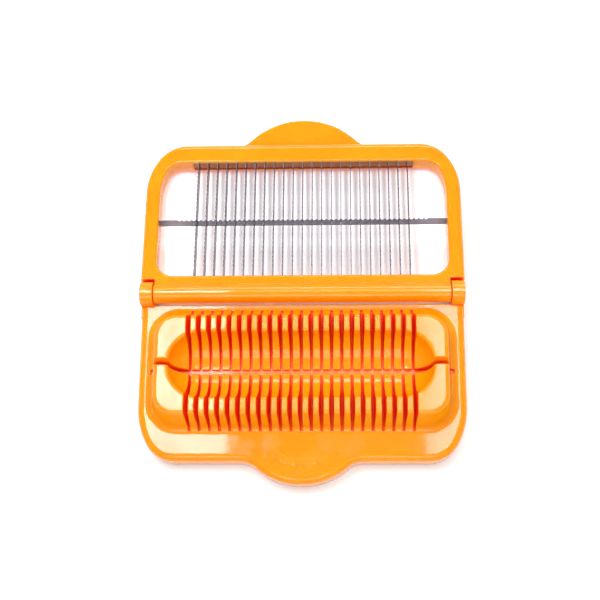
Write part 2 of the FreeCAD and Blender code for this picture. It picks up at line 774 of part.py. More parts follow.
def cut_blade_seats(body, low, high):
    """Seats between two heights for both combs and for the ends of all blades."""
    half = comb_half_length + cell("seat_gap")
    for name, wall, away in (("far", -window_far, -1), ("near", -window_near, 1)):
        front = wall + away * cell("comb_recess")
        back = front + away * (cell("comb_thickness") + cell("head_length") + 3 * cell("seat_gap"))
        low_seat, high_seat = low("comb_low"), high("comb_high")
        seat_edges = (back, front) if away < 0 else (front, back)
        sketch = new_sketch(body, "comb_seat_%s_plan" % name, "XY_Plane", low_seat)
        draw(sketch, box_corners(-half, half, seat_edges[0], seat_edges[1]))
        pocket(body, "comb_seat_" + name, sketch, high_seat - low_seat, reverse=True)
        # The opening in the wall through which the comb shows.
        low_view, high_view = low("view_low"), high("view_high")
        mouth = wall - away * cell("overcut")
        overlap = front + away * cell("seat_gap") / 2
        view_edges = (overlap, mouth) if away < 0 else (mouth, overlap)
        sketch = new_sketch(body, "comb_view_%s_plan" % name, "XY_Plane", low_view)
        half_view = half - cell("comb_lip")
        draw(sketch, box_corners(-half_view, half_view, view_edges[0], view_edges[1]))
        pocket(body, "comb_view_" + name, sketch, high_view - low_view, reverse=True)
    # Slots in the side walls for the necks of the long blade.
    low_neck, high_neck = low("neck_low"), high("neck_high")
    sketch = new_sketch(body, "long_blade_slot_plan", "XY_Plane", low_neck)
    slot = cell("blade_thickness") / 2 + cell("seat_gap")
    reach = window_half_width + cell("lid_wall") + cell("overcut")
    draw(sketch, box_corners(-reach, reach, -blade_distance - slot, -blade_distance + slot))
    pocket(body, "long_blade_slot", sketch, high_neck - low_neck, reverse=True)


HEIGHTS = {
    "comb_low": comb_low - cell("seat_gap"),
    "comb_high": comb_high + cell("seat_gap"),
    "view_low": comb_low + cell("comb_lip"),
    "view_high": comb_high - cell("comb_lip"),
    "neck_low": lid_middle - long_neck_height / 2 - cell("seat_gap"),
    "neck_high": lid_middle + long_neck_height / 2 + cell("seat_gap"),
}


def make_lid_frame():
    """The lower shell, whose smooth face meets the tray, with the hinge barrel."""
    body = new_body("lid_frame")
    half_thickness = cell("lid_thickness") / 2
    sketch = new_sketch(body, "frame_plan", "XY_Plane", lid_low)
    draw(sketch, lid_outline())
    draw(sketch, window_outline())
    pad(body, "frame_solid", sketch, half_thickness)
    outside = outer_edge_test()
    round_edges(body, "frame_outer_edge", cell("lid_edge"), at_height(lid_low.value, outside))
    window = window_edge_test()
    round_edges(body, "frame_window_edge", cell("lid_inner_edge"), at_height(lid_low.value, window))

    sketch = new_sketch(body, "barrel_side", "YZ_Plane")
    draw_circle(sketch, 0.0, 0.0, cell("barrel_radius"))
    barrel = pad(body, "barrel", sketch, 2 * barrel_half_length)
    barrel.Midplane = True
    doc.recompute()

    sketch = new_sketch(body, "frame_channel_plan", "XY_Plane", lid_middle - groove)
    draw(sketch, channel_outline())
    pocket(body, "frame_channel", sketch, groove + cell("shell_overcut"), reverse=True)
    cut_blade_seats(body, lambda name: HEIGHTS[name], lambda name: lid_middle + cell("shell_overcut"))

    for side, reverse in (("right", False), ("left", True)):
        place = barrel_half_length if side == "right" else -barrel_half_length
        sketch = new_sketch(body, "pin_hole_%s_side" % side, "YZ_Plane", place)
        draw_circle(sketch, 0.0, 0.0, cell("pin_radius") + cell("pin_play"))
        pocket(body, "pin_hole_" + side, sketch, cell("pin_grip") + cell("pin_hole_end"), reverse=reverse)
    place_on_lid(body)
    return body


def outer_edge_test():
    """Edges of the far side and of both side bars, but not those next to the ears or the barrel."""
    near = -cell("side_bar_start").value - 0.1
    window_x = window_half_width.value + 0.5
    window_y = -window_far.value - 0.5
    return lambda x, y: y < near and (abs(x) > window_x or y < window_y)


def window_edge_test():
    window_x = window_half_width.value + 0.1
    window_y = -window_far.value - 0.1
    near = -window_near.value + 0.1
    return lambda x, y: abs(x) < window_x and window_y < y < near


def make_lid_cover():
    """The upper shell, which closes the lid and carries the lifting tab."""
    body = new_body("lid_cover")
    half_thickness = cell("lid_thickness") / 2
    sketch = new_sketch(body, "cover_plan", "XY_Plane", lid_middle)
    draw(sketch, lid_outline())
    draw(sketch, window_outline())
    pad(body, "cover_solid", sketch, half_thickness)

    # The lifting tab is thin, and flush with the upper face.
    far = -lid_far
    sketch = new_sketch(body, "lift_plan", "XY_Plane", lid_high - cell("lift_thickness"))
    points = tab_points(far, cell("lift_reach"), cell("lift_radius"), cell("lift_root"))
    spread = points[3][0]
    inside = far + cell("lid_edge")
    draw(sketch, points + [(spread, inside), (-spread, inside)])
    pad(body, "lift_tab", sketch, cell("lift_thickness"))
    outside = outer_edge_test()
    round_edges(body, "cover_outer_edge", cell("cover_edge"), at_height(lid_high.value, outside))
    window = window_edge_test()
    round_edges(body, "cover_window_edge", cell("lid_inner_edge"), at_height(lid_high.value, window))

    # Room for the barrel, and the hollow of the bars.
    sketch = new_sketch(body, "barrel_room_side", "YZ_Plane")
    draw_circle(sketch, 0.0, 0.0, cell("barrel_radius") + cell("seat_gap") / 2)
    pocket(body, "barrel_room", sketch, 2 * lid_half_width, both_ways=True)
    sketch = new_sketch(body, "cover_channel_plan", "XY_Plane", lid_middle - cell("shell_overcut"))
    draw(sketch, channel_outline())
    pocket(body, "cover_channel", sketch, groove + cell("shell_overcut"), reverse=True)
    cut_blade_seats(body, lambda name: lid_middle - cell("shell_overcut"), lambda name: HEIGHTS[name])
    place_on_lid(body)
    return body


# ---------------------------------------------------------------------------------------------
# Blades, combs and pins
# ---------------------------------------------------------------------------------------------

def make_comb(label, wall, away):
    """A steel strip with one open slot for each cross blade."""
    body = new_body(label)
    front = wall + away * cell("comb_recess")
    back = front + away * cell("comb_thickness")
    low_edge, high_edge = (back, front) if away < 0 else (front, back)
    sketch = new_sketch(body, label + "_plan", "XY_Plane", comb_low)
    draw(sketch, box_corners(-comb_half_length, comb_half_length, low_edge, high_edge))
    pad(body, label + "_strip", sketch, comb_high - comb_low)
    neck_low = blade_low + cell("neck_step") - cell("blade_gap")
    first = -cut_span / 2
    sketch = new_sketch(body, label + "_slot_plan", "XY_Plane", neck_low)
    draw(sketch, box_corners(first - notch_width / 2, first + notch_width / 2,
                             low_edge - cell("overcut"), high_edge + cell("overcut")))
    slot = pocket(body, label + "_slot", sketch, comb_high - neck_low + cell("overcut"), reverse=True)
    repeat_across(body, label + "_slots", slot, cut_span, cell("cut_count"))
    place_on_lid(body)
    return body


def tooth_gap(first, low):
    """The gap between two teeth: open below, narrower above, starting at first."""
    pitch, depth = cell("tooth_pitch"), cell("tooth_depth")
    mouth, narrow = pitch * cell("tooth_mouth"), pitch * cell("tooth_root")
    below = low - cell("seat_gap")
    return [
        (first + mouth, below),
        (first + pitch - mouth, below),
        (first + pitch - narrow, low + depth),
        (first + narrow, low + depth),
    ]


def make_cross_blade(label):
    """A serrated blade across the lid, with a head behind each comb and a notch for the long blade."""
    body = new_body(label)
    half = cell("blade_thickness") / 2
    far, near = -window_far, -window_near
    gap = cell("blade_end_gap")
    behind = cell("comb_recess") + cell("comb_thickness") + cell("seat_gap")
    neck_low = blade_low + cell("neck_step")
    head_low = (comb_low + comb_high) / 2 - head_height / 2
    head_high = head_low + head_height
    sketch = new_sketch(body, "blade_side", "YZ_Plane", -half)
    draw(sketch, [
        (far + gap, blade_low),
        (near - gap, blade_low),
        (near - gap, neck_low),
        (near + behind, neck_low),
        (near + behind, head_low),
        (near + behind + cell("head_length"), head_low),
        (near + behind + cell("head_length"), head_high),
        (near + behind, head_high),
        (near + behind, blade_high),
        (far - behind, blade_high),
        (far - behind, head_high),
        (far - behind - cell("head_length"), head_high),
        (far - behind - cell("head_length"), head_low),
        (far - behind, head_low),
        (far - behind, neck_low),
        (far + gap, neck_low),
    ])
    pad(body, "blade", sketch, cell("blade_thickness"))
    wide = notch_width / 2
    place = -blade_distance
    sketch = new_sketch(body, "lap_side", "YZ_Plane")
    draw(sketch, box_corners(place - wide, place + wide,
                             blade_low - cell("overcut"), lap_height + cell("blade_gap")))
    pocket(body, "lap", sketch, 4 * cell("blade_thickness"), both_ways=True)
    plain = 2 * cell("cross_plain")
    count = whole((near - far - plain) / cell("tooth_pitch"))
    span = cell("tooth_pitch") * (count - 1)
    first = (far + near) / 2 - span / 2 - cell("tooth_pitch") / 2
    sketch = new_sketch(body, "tooth_side", "YZ_Plane")
    draw(sketch, tooth_gap(first, blade_low))
    gap_cut = pocket(body, "tooth_gap", sketch, 4 * cell("blade_thickness"), both_ways=True)
    repeat_across(body, "teeth", gap_cut, span, count)
    return body


def make_long_blade():
    """The blade along the lid, notched from its back at every cross blade."""
    body = new_body("long_blade")
    half = window_half_width - cell("blade_end_gap")
    wall = window_half_width + cell("lid_wall") + cell("seat_gap")
    end = wall + cell("head_length")
    neck = long_neck_height / 2
    head = long_head_height / 2
    place = blade_distance - cell("blade_thickness") / 2
    sketch = new_sketch(body, "long_blade_side", "XZ_Plane", place)
    draw(sketch, [
        (-half, blade_low),
        (half, blade_low),
        (half, lid_middle - neck),
        (wall, lid_middle - neck),
        (wall, lid_middle - head),
        (end, lid_middle - head),
        (end, lid_middle + head),
        (wall, lid_middle + head),
        (wall, lid_middle + neck),
        (half, lid_middle + neck),
        (half, blade_high),
        (-half, blade_high),
        (-half, lid_middle + neck),
        (-wall, lid_middle + neck),
        (-wall, lid_middle + head),
        (-end, lid_middle + head),
        (-end, lid_middle - head),
        (-wall, lid_middle - head),
        (-wall, lid_middle - neck),
        (-half, lid_middle - neck),
    ])
    pad(body, "blade", sketch, cell("blade_thickness"))
    first = -cut_span / 2
    sketch = new_sketch(body, "lap_side", "XZ_Plane", place)
    draw(sketch, box_corners(first - notch_width / 2, first + notch_width / 2,
                             lap_height - cell("blade_gap"), blade_high + cell("overcut")))
    lap = pocket(body, "lap", sketch, 4 * cell("blade_thickness"), both_ways=True)
    repeat_across(body, "laps", lap, cut_span, cell("cut_count"))
    plain = 2 * cell("long_plain")
    count = whole((2 * half - plain) / cell("tooth_pitch"))
    span = cell("tooth_pitch") * (count - 1)
    sketch = new_sketch(body, "tooth_side", "XZ_Plane", place)
    draw(sketch, tooth_gap(-span / 2 - cell("tooth_pitch") / 2, blade_low))
    gap_cut = pocket(body, "tooth_gap", sketch, 4 * cell("blade_thickness"), both_ways=True)
    repeat_across(body, "teeth", gap_cut, span, count)
    place_on_lid(body)
    return body


def make_pin(label, side):
    """A headed steel pin through one ear into the barrel; side is +1 for the right, -1 for the left."""
    body = new_body(label)
    tip = barrel_half_length - cell("pin_grip")
    shoulder = tray_half_width - cell("pin_head_height")
    top = tray_half_width - cell("pin_sink")
    radius, head, chamfer = cell("pin_radius"), cell("pin_head_radius"), cell("pin_chamfer")
    sketch = new_sketch(body, label + "_profile", "XY_Plane")
    draw(sketch, [
        (side * tip, 0.0),
        (side * top, 0.0),
        (side * top, head - chamfer),
        (side * (top - chamfer), head),
        (side * shoulder, head),
        (side * shoulder, radius),
        (side * (tip + chamfer), radius),
        (side * tip, radius - chamfer),
    ])
    pin = body.newObject("PartDesign::Revolution", label + "_turned")
    pin.Profile = sketch
    pin.ReferenceAxis = (sketch, ["H_Axis"])
    pin.Angle = 360
    doc.recompute()
    drive(body, "Placement.Base.y", hinge_y)
    drive(body, "Placement.Base.z", hinge_height)
    return body


# ---------------------------------------------------------------------------------------------
# The pieces
# ---------------------------------------------------------------------------------------------

pieces = [make_tray(), make_lid_frame(), make_lid_cover()]
pieces.append(make_comb("comb_strip_front", -window_far, -1))
pieces.append(make_comb("comb_strip_rear", -window_near, 1))
pieces.append(make_long_blade())
pieces.append(make_pin("hinge_pin_left", -1))
pieces.append(make_pin("hinge_pin_right", 1))

# All cross blades are the same blade: the first is drawn, and the others are links to it.
blade_count = int(cell("cut_count").value)
first_blade = make_cross_blade("cross_blade_01")
for number in range(blade_count):
    if number == 0:
        blade = first_blade
    else:
        blade = doc.addObject("App::Link", "cross_blade_%02d" % (number + 1))
        blade.LinkedObject = first_blade
        blade.Label = "cross_blade_%02d" % (number + 1)
    place_on_lid(blade)
    drive(blade, "Placement.Base.x", number * cell("cut_pitch") - cut_span / 2)
    pieces.append(blade)
doc.recompute()
doc.recompute()

for item in doc.Objects:
    if "Invalid" in item.State or "Error" in item.State:
        raise RuntimeError("%s: %s" % (item.Name, item.getStatusString()))

os.makedirs("parts", exist_ok=True)
for piece in pieces:
    shape = Part.getShape(piece)
    if shape.isNull() or not shape.isValid() or len(shape.Solids) != 1:
        raise RuntimeError("%s has no sound single solid" % piece.Label)
    shape.exportStep("parts/%s.step" % piece.Label)
    box = shape.BoundBox
    print("%-18s %9.1f mm3  x %.2f..%.2f  y %.2f..%.2f  z %.2f..%.2f" % (
        piece.Label, shape.Volume, box.XMin, box.XMax, box.YMin, box.YMax, box.ZMin, box.ZMax))
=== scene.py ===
# %% [markdown]
# # A sausage slicer in orange plastic and steel
# The slicer is a moulded tray with a slotted block, and a lid that swings on two pins. The
# lid's window holds 23 short blades and one long blade that crosses them. Every solid comes
# from a CAD model that is already the right size, so this lesson is about finish: how to make
# glossy plastic, thin sawn steel and soft studio light from shader nodes.

# %% Tools
import json
from math import cos, radians, sin

import bpy
from mathutils import Matrix, Vector

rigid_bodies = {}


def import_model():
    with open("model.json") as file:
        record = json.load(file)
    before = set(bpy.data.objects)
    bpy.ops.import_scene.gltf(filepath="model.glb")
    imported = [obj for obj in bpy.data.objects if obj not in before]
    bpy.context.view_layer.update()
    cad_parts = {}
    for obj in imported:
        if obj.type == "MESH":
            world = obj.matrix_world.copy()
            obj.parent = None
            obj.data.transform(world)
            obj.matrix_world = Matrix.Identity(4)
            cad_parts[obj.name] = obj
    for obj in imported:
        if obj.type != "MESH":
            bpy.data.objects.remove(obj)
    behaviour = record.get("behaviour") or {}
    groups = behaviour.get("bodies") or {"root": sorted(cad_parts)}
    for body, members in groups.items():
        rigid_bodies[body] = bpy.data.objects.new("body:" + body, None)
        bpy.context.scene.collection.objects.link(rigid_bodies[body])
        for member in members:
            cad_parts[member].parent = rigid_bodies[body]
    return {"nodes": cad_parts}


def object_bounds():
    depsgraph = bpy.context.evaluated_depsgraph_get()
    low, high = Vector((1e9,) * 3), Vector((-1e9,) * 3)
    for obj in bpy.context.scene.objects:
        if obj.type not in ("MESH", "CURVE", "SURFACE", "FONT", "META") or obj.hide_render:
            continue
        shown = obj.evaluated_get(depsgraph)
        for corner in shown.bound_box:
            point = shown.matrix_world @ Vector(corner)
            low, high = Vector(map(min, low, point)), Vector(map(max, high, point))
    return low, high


# %% [markdown]
# ## Loading the model
# A fresh Blender file holds a cube, a lamp and a camera. They would be measured along with the
# slicer, so they go first. The CAD model then comes in as one object for each part, each riding
# on the body that moves it: the base stands still and the lid turns.

# %% Load the parts
for leftover in list(bpy.data.objects):
    bpy.data.objects.remove(leftover)
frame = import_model()
cad_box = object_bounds()
parts = frame["nodes"]
low, high = cad_box
middle = (low + high) / 2
length_mm = [round(1000 * side, 1) for side in high - low]
print("parts:", len(parts), " whole size in mm:", length_mm)

# %% [markdown]
# ## Small helpers for node trees
# Shader nodes are easier to read as code when one call makes a node, fills its sockets and
# joins its inputs. A value that is another node's socket becomes a link, and anything else is
# set as a plain number or colour.


# %% Node helpers
def fill(tree, node, values):
    """Sets or links a node's inputs, given by name or by number."""
    for name, value in values.items():
        socket = node.inputs[name]
        if isinstance(value, bpy.types.NodeSocket):
            tree.links.new(value, socket)
        else:
            socket.default_value = value


def add(tree, kind, values=None, **settings):
    """Adds one node of a kind, with its settings and its inputs."""
    node = tree.nodes.new(kind)
    for name, value in settings.items():
        setattr(node, name, value)
    fill(tree, node, values or {})
    return node


def maths(tree, operation, first, second=0.0, clamp=False):
    """One step of arithmetic, and the socket that holds its answer."""
    node = add(tree, "ShaderNodeMath", {0: first, 1: second}, operation=operation)
    node.use_clamp = clamp
    return node.outputs[0]


def ramp(tree, value, start, end, low_value=0.0, high_value=1.0):
    """Stretches a value between two limits and keeps it inside them."""
    limits = {0: value, 1: start, 2: end, 3: low_value, 4: high_value}
    return add(tree, "ShaderNodeMapRange", limits).outputs[0]


def blend_colour(tree, amount, first, second):
    """A mix of two colours."""
    node = add(tree, "ShaderNodeMix", data_type="RGBA")
    fill(tree, node, {0: amount, 6: first, 7: second})
    return node.outputs[2]


print("helpers for numbers and colours ready")

# %% [markdown]
# ## Helpers for patterns and relief
# Most surface detail starts as noise, read at a place on the object. Squeezing the place along
# one axis turns lumps into streaks. A bump tilts the normal by the slope of a value, so a
# surface seems rough without moving.


# %% Pattern helpers
def noise(tree, place, scale, detail=2.0, roughness=0.5):
    """A cloudy value about 0.5, at a number of lumps for each metre."""
    node = add(
        tree,
        "ShaderNodeTexNoise",
        {"Vector": place, "Scale": scale, "Detail": detail, "Roughness": roughness},
    )
    return node.outputs["Fac"]


def vector_maths(tree, operation, values):
    """One step of arithmetic on vectors, and the node that holds its answers."""
    return add(tree, "ShaderNodeVectorMath", values, operation=operation)


def bump(tree, height, normal, strength, depth, invert=False):
    """The normal of a surface with a relief as deep as asked, in metres."""
    node = add(
        tree,
        "ShaderNodeBump",
        {"Strength": strength, "Distance": depth, "Height": height, "Normal": normal},
        invert=invert,
    )
    return node.outputs[0]


print("helpers for patterns ready")

# %% [markdown]
# ## Helpers for groups and materials
# An effect that several materials share goes into a node group with named inputs and outputs.
# A new material starts with one shader node, and with the place of each point as the object
# itself counts it, so that a pattern stays on the lid when the lid swings.


# %% Group helpers
def new_group(name, inputs, outputs):
    """A node group with named inputs (socket kind, value) and outputs (socket kind)."""
    tree = bpy.data.node_groups.new(name, "ShaderNodeTree")
    for label, (kind, value) in inputs.items():
        socket = tree.interface.new_socket(label, in_out="INPUT", socket_type=kind)
        if value is not None:
            socket.default_value = value
    for label, kind in outputs.items():
        tree.interface.new_socket(label, in_out="OUTPUT", socket_type=kind)
    given = tree.nodes.new("NodeGroupInput").outputs
    return tree, given, tree.nodes.new("NodeGroupOutput")


def use_group(tree, group, values):
    """Places a finished group in a material, with the material's own values."""
    node = tree.nodes.new("ShaderNodeGroup")
    node.node_tree = group
    fill(tree, node, values)
    return node.outputs


def new_material(name):
    """A material, its node tree, and the place of each point on the object."""
    material = bpy.data.materials.new(name)
    material.use_nodes = True
    tree = material.node_tree
    return material, tree, add(tree, "ShaderNodeTexCoord").outputs["Object"]


NUMBER, VECTOR = "NodeSocketFloat", "NodeSocketVector"
SHADER = "Principled BSDF"
print("helpers for groups and materials ready")

# %% [markdown]
# ## Soft edges
# No moulded or ground edge is truly sharp: each one catches a thin line of light. The edge
# could be cut into the mesh with a bevel, but the meshes must keep their exact CAD shape. The
# Bevel shader node rounds the shading instead. Where the rounded normal leans away from the
# true one there is an edge, so the same node also gives a mask for wear.

# %% Group: soft edges
EDGE_SAMPLES = 6
EDGE_START, EDGE_FULL = 0.99, 0.80
group, given, made = new_group(
    "soft_edges", {"Radius": (NUMBER, 0.0005)}, {"Normal": VECTOR, "Edge": NUMBER}
)
rounded = add(group, "ShaderNodeBevel", {"Radius": given["Radius"]}, samples=EDGE_SAMPLES)
rounded_normal = rounded.outputs[0]
true_normal = add(group, "ShaderNodeNewGeometry").outputs["Normal"]
agreement = vector_maths(group, "DOT_PRODUCT", {0: rounded_normal, 1: true_normal})
edge = ramp(group, agreement.outputs["Value"], EDGE_START, EDGE_FULL)
fill(group, made, {"Normal": rounded_normal, "Edge": edge})
soft_edges = group
print("soft_edges:", [socket.name for socket in made.inputs if socket.name])

# %% [markdown]
# ## Hairline scratches
# Anything that slides in a kitchen drawer picks up fine scratches in a few directions. A noise
# squeezed hard along one axis turns into long streaks, and a narrow band of its values leaves
# only thin lines. Two layers at different turns cross each other. A second, broad noise fades
# them in and out, so that they gather in patches.

# %% Group: hairline scratches
STREAK_STRETCH, STREAK_TILT = (90, 2600, 900), (0.1, 0.2)
STREAK_TURNS = (25, 112)
LINE_EDGE, LINE_CORE = 0.012, 0.002
PATCHES_PER_METRE = 70.0
group, given, made = new_group(
    "hairline_scratches",
    {"Place": (VECTOR, None), "Scale": (NUMBER, 1.0), "Amount": (NUMBER, 0.5)},
    {"Mask": NUMBER},
)
scaled = vector_maths(group, "SCALE", {0: given["Place"], "Scale": given["Scale"]}).outputs[0]
lines = None
for turn in STREAK_TURNS:
    squeeze = {"Rotation": (*STREAK_TILT, radians(turn)), "Scale": STREAK_STRETCH}
    streak_place = add(group, "ShaderNodeMapping", {"Vector": scaled, **squeeze}).outputs[0]
    off_middle = maths(group, "SUBTRACT", noise(group, streak_place, 1.0), 0.5)
    line = ramp(group, maths(group, "ABSOLUTE", off_middle), LINE_EDGE, LINE_CORE)
    lines = line if lines is None else maths(group, "MAXIMUM", lines, line)
patches = ramp(group, noise(group, scaled, PATCHES_PER_METRE), 0.45, 0.7)
mask = maths(group, "MULTIPLY", maths(group, "MULTIPLY", lines, patches), given["Amount"])
fill(group, made, {"Mask": mask})
hairline_scratches = group
print("hairline_scratches:", len(group.nodes), "nodes")

# %% [markdown]
# ## Rolled and ground steel grain
# Sheet steel leaves the rolling mill with a grain that runs one way, and it shows as faint
# streaks in the gloss. The grain is a noise squeezed across the rolling direction. The stretch
# is an input, so the same group gives long streaks on a blade and rings on a turned pin.

# %% Group: steel grain
STAINS_PER_METRE = 180.0
group, given, made = new_group(
    "steel_grain",
    {"Place": (VECTOR, None), "Stretch": (VECTOR, (60.0, 6000.0, 6000.0))},
    {"Streaks": NUMBER, "Stains": NUMBER},
)
squeezed = vector_maths(group, "MULTIPLY", {0: given["Place"], 1: given["Stretch"]}).outputs[0]
streaks = noise(group, squeezed, 1.0, detail=4.0, roughness=0.65)
blotches = noise(group, given["Place"], STAINS_PER_METRE, detail=3.0)
fill(group, made, {"Streaks": streaks, "Stains": ramp(group, blotches, 0.42, 0.68)})
steel_grain = group
print("steel_grain:", len(group.nodes), "nodes")

# %% [markdown]
# ## Specks of dust
# A little dust keeps a clean surface from looking like a drawing. Voronoi cells give one random
# spot each: the distance to the cell's point makes the spot, and a threshold on the cell's own
# random colour keeps only a few of them.

# %% Group: dust specks
SPOT_EDGE, SPOT_CORE = 0.16, 0.06
group, given, made = new_group(
    "dust_specks",
    {"Place": (VECTOR, None), "Per metre": (NUMBER, 500.0), "Share": (NUMBER, 0.1)},
    {"Mask": NUMBER},
)
cells = add(
    group, "ShaderNodeTexVoronoi", {"Vector": given["Place"], "Scale": given["Per metre"]}
)
spot = ramp(group, cells.outputs["Distance"], SPOT_EDGE, SPOT_CORE)
lottery = add(group, "ShaderNodeSeparateColor", {0: cells.outputs["Color"]}).outputs[0]
chosen = maths(group, "LESS_THAN", lottery, given["Share"])
fill(group, made, {"Mask": maths(group, "MULTIPLY", spot, chosen)})
dust_specks = group
print("dust_specks:", len(group.nodes), "nodes")

# %% [markdown]
# ## Deep gaps
# In a narrow slot, light has bounced off orange walls or passed through them many times, and
# each time it loses more green than red. The bounces could be left to the renderer, but it
# stops after a few, and most of the depth of colour is lost. Ambient occlusion measures how
# closed in a point is, and its answer becomes a mask for a redder colour.

# %% Group: deep gaps
GAP_SAMPLES = 8
OPEN, SHUT = 0.62, 0.25
group, given, made = new_group("deep_gaps", {"Reach": (NUMBER, 0.004)}, {"Depth": NUMBER})
closed_in = add(
    group, "ShaderNodeAmbientOcclusion", {"Distance": given["Reach"]}, samples=GAP_SAMPLES
)
fill(group, made, {"Depth": ramp(group, closed_in.outputs["AO"], OPEN, SHUT)})
deep_gaps = group
print("deep_gaps:", [socket.name for socket in made.inputs if socket.name])

# %% [markdown]
# ## Orange plastic: what differs from place to place
# The tray and the lid are moulded from one glossy orange plastic. Before choosing a colour, it
# helps to know where things happen. Each mask below answers one question: where is an edge
# worn, where did something scratch it, where does dust lie, where is the moulding a shade
# lighter, and how deep in a gap is this point.

# %% Plastic masks
EDGE_RADIUS, GAP_REACH = 0.0009, 0.004
CHIPS_PER_METRE, CLOUDS_PER_METRE = 350.0, 28.0
DUST_PER_METRE, DUST_SHARE = 420.0, 0.05


def plastic_masks(tree, place, scuffing):
    """The rounded normal, and a value for wear, scratches, dust, clouds and gaps."""
    edges = use_group(tree, soft_edges, {"Radius": EDGE_RADIUS})
    chips = ramp(tree, noise(tree, place, CHIPS_PER_METRE), 0.4, 0.7)
    scratches = use_group(
        tree, hairline_scratches, {"Place": place, "Scale": 1.0, "Amount": scuffing}
    )
    dust = use_group(
        tree, dust_specks, {"Place": place, "Per metre": DUST_PER_METRE, "Share": DUST_SHARE}
    )
    return {
        "normal": edges["Normal"],
        "worn": maths(tree, "MULTIPLY", edges["Edge"], chips),
        "scratches": scratches["Mask"],
        "dust": dust["Mask"],
        "clouds": noise(tree, place, CLOUDS_PER_METRE, detail=3.0),
        "gaps": use_group(tree, deep_gaps, {"Reach": GAP_REACH})["Depth"],
    }


print("plastic masks: edges rounded by", 1000 * EDGE_RADIUS, "mm")

# %% [markdown]
# ## Orange plastic: colour
# The orange drifts between two close shades, since one flat colour would look printed. Gaps
# get a darker red, which is painted shade and bounce light; worn edges turn paler, and dust is
# greyish. The tray stands on its rim, and there it gets a painted brown shade for the contact
# shadow, fading within a few millimetres. A height measured on the object makes that mask.

# %% Plastic colour
DEEP, PALE = (0.94, 0.30, 0.001, 1.0), (0.96, 0.325, 0.003, 1.0)
RUBBED, GREY_DUST = (0.90, 0.42, 0.05, 1.0), (0.85, 0.58, 0.34, 1.0)
# Painted shade colours: red for deep gaps, brown for the tray's foot near the floor.
GAP_SHADE_RED, FOOT_SHADE_BROWN = (0.85, 0.02, 0.0, 1.0), (0.30, 0.08, 0.005, 1.0)
WEAR_SHARE, DUST_COVER = 0.5, 0.35
FOOT_SHADE_TOP = 0.0025


def plastic_colour(tree, place, masks, foot_shade):
    """Orange, painted redder shade in gaps, paler where worn or dusty, painted brown foot
    shade.
    """
    worn = maths(tree, "MULTIPLY", masks["worn"], WEAR_SHARE)
    dust = maths(tree, "MULTIPLY", masks["dust"], DUST_COVER)
    colour = blend_colour(tree, ramp(tree, masks["clouds"], 0.35, 0.65), DEEP, PALE)
    # Painted shade and bounce light: closed-in points are turned a darker red.
    colour = blend_colour(tree, masks["gaps"], colour, GAP_SHADE_RED)
    colour = blend_colour(tree, worn, colour, RUBBED)
    colour = blend_colour(tree, dust, colour, GREY_DUST)
    if foot_shade:
        # Painted shade: the foot is browned near the floor, standing in for its contact shadow.
        height = add(tree, "ShaderNodeSeparateXYZ", {0: place}).outputs["Z"]
        shadow = ramp(tree, height, FOOT_SHADE_TOP, 0.0, 0.0, foot_shade)
        colour = blend_colour(tree, shadow, colour, FOOT_SHADE_BROWN)
    return colour


# The brown at the foot is painted shade, not dirt.
print("foot grime fades out at", 1000 * FOOT_SHADE_TOP, "mm")

# %% [markdown]
# ## Orange plastic: gloss and relief
# The mould's polish is not perfect. A broad noise changes the gloss a little, and scratches and
# dust break it up. Deep gaps are kept dull, or their floors would mirror the lamps. A very
# shallow noise bends the reflections, as it does on any moulded face that looks flat.

# %% Plastic gloss and relief
SMOOTHEST, DULLEST = 0.05, 0.09
DULLED_BY = {"scratches": 0.10, "dust": 0.3, "gaps": 0.5}
RIPPLES_PER_METRE = 260.0
RIPPLE_STRENGTH, RIPPLE_DEPTH = 0.35, 0.00004
SCRATCH_STRENGTH, SCRATCH_DEPTH = 0.5, 0.00001


def plastic_gloss(tree, masks):
    """A low roughness, raised by each mask that dulls the surface."""
    gloss = ramp(tree, masks["clouds"], 0.3, 0.7, SMOOTHEST, DULLEST)
    for name, share in DULLED_BY.items():
        dulling = maths(tree, "MULTIPLY", masks[name], share)
        gloss = maths(tree, "ADD", gloss, dulling, clamp=True)
    return gloss


def plastic_relief(tree, place, masks):
    """The normal, with shallow ripples and with scratches cut into them."""
    polish = noise(tree, place, RIPPLES_PER_METRE, detail=1.0)
    ripple = bump(tree, polish, masks["normal"], RIPPLE_STRENGTH, RIPPLE_DEPTH)
    return bump(
        tree, masks["scratches"], ripple, SCRATCH_STRENGTH, SCRATCH_DEPTH, invert=True
    )


print("plastic is dulled by:", ", ".join(DULLED_BY))

# %% [markdown]
# ## Orange plastic: the material
# The plastic is a little translucent: light sinks in, scatters and comes out redder, which
# warms thin walls and deep slots. Plain diffuse colour would look like paint, so some
# subsurface scattering is added. A weak red glow in the gaps stands for the light that comes
# through their thin walls. The tray has slid about more than the lid, so it is more scuffed.

# %% Material: orange plastic
UNLIT, LIT_THROUGH = (0.0, 0.0, 0.0, 1.0), (0.75, 0.012, 0.0, 1.0)
SCATTER_DISTANCE, SCATTER_COLOUR = 0.003, (1.0, 0.2, 0.04)


def orange_plastic(name, scuffing, foot_shade=0.0):
    """Glossy moulded plastic, more or less scuffed, with painted brown shade where it stands.
    """
    material, tree, place = new_material(name)
    masks = plastic_masks(tree, place, scuffing)
    fill(
        tree,
        tree.nodes[SHADER],
        {
            "Base Color": plastic_colour(tree, place, masks, foot_shade),
            "Roughness": plastic_gloss(tree, masks),
            "Normal": plastic_relief(tree, place, masks),
            "IOR": 1.49,
            "Specular IOR Level": 0.38,
            "Emission Color": blend_colour(tree, masks["gaps"], UNLIT, LIT_THROUGH),
            "Emission Strength": 0.11,
            "Subsurface Weight": 0.7,
            "Subsurface Radius": SCATTER_COLOUR,
            "Subsurface Scale": SCATTER_DISTANCE,
        },
    )
    material.diffuse_color = PALE
    return material


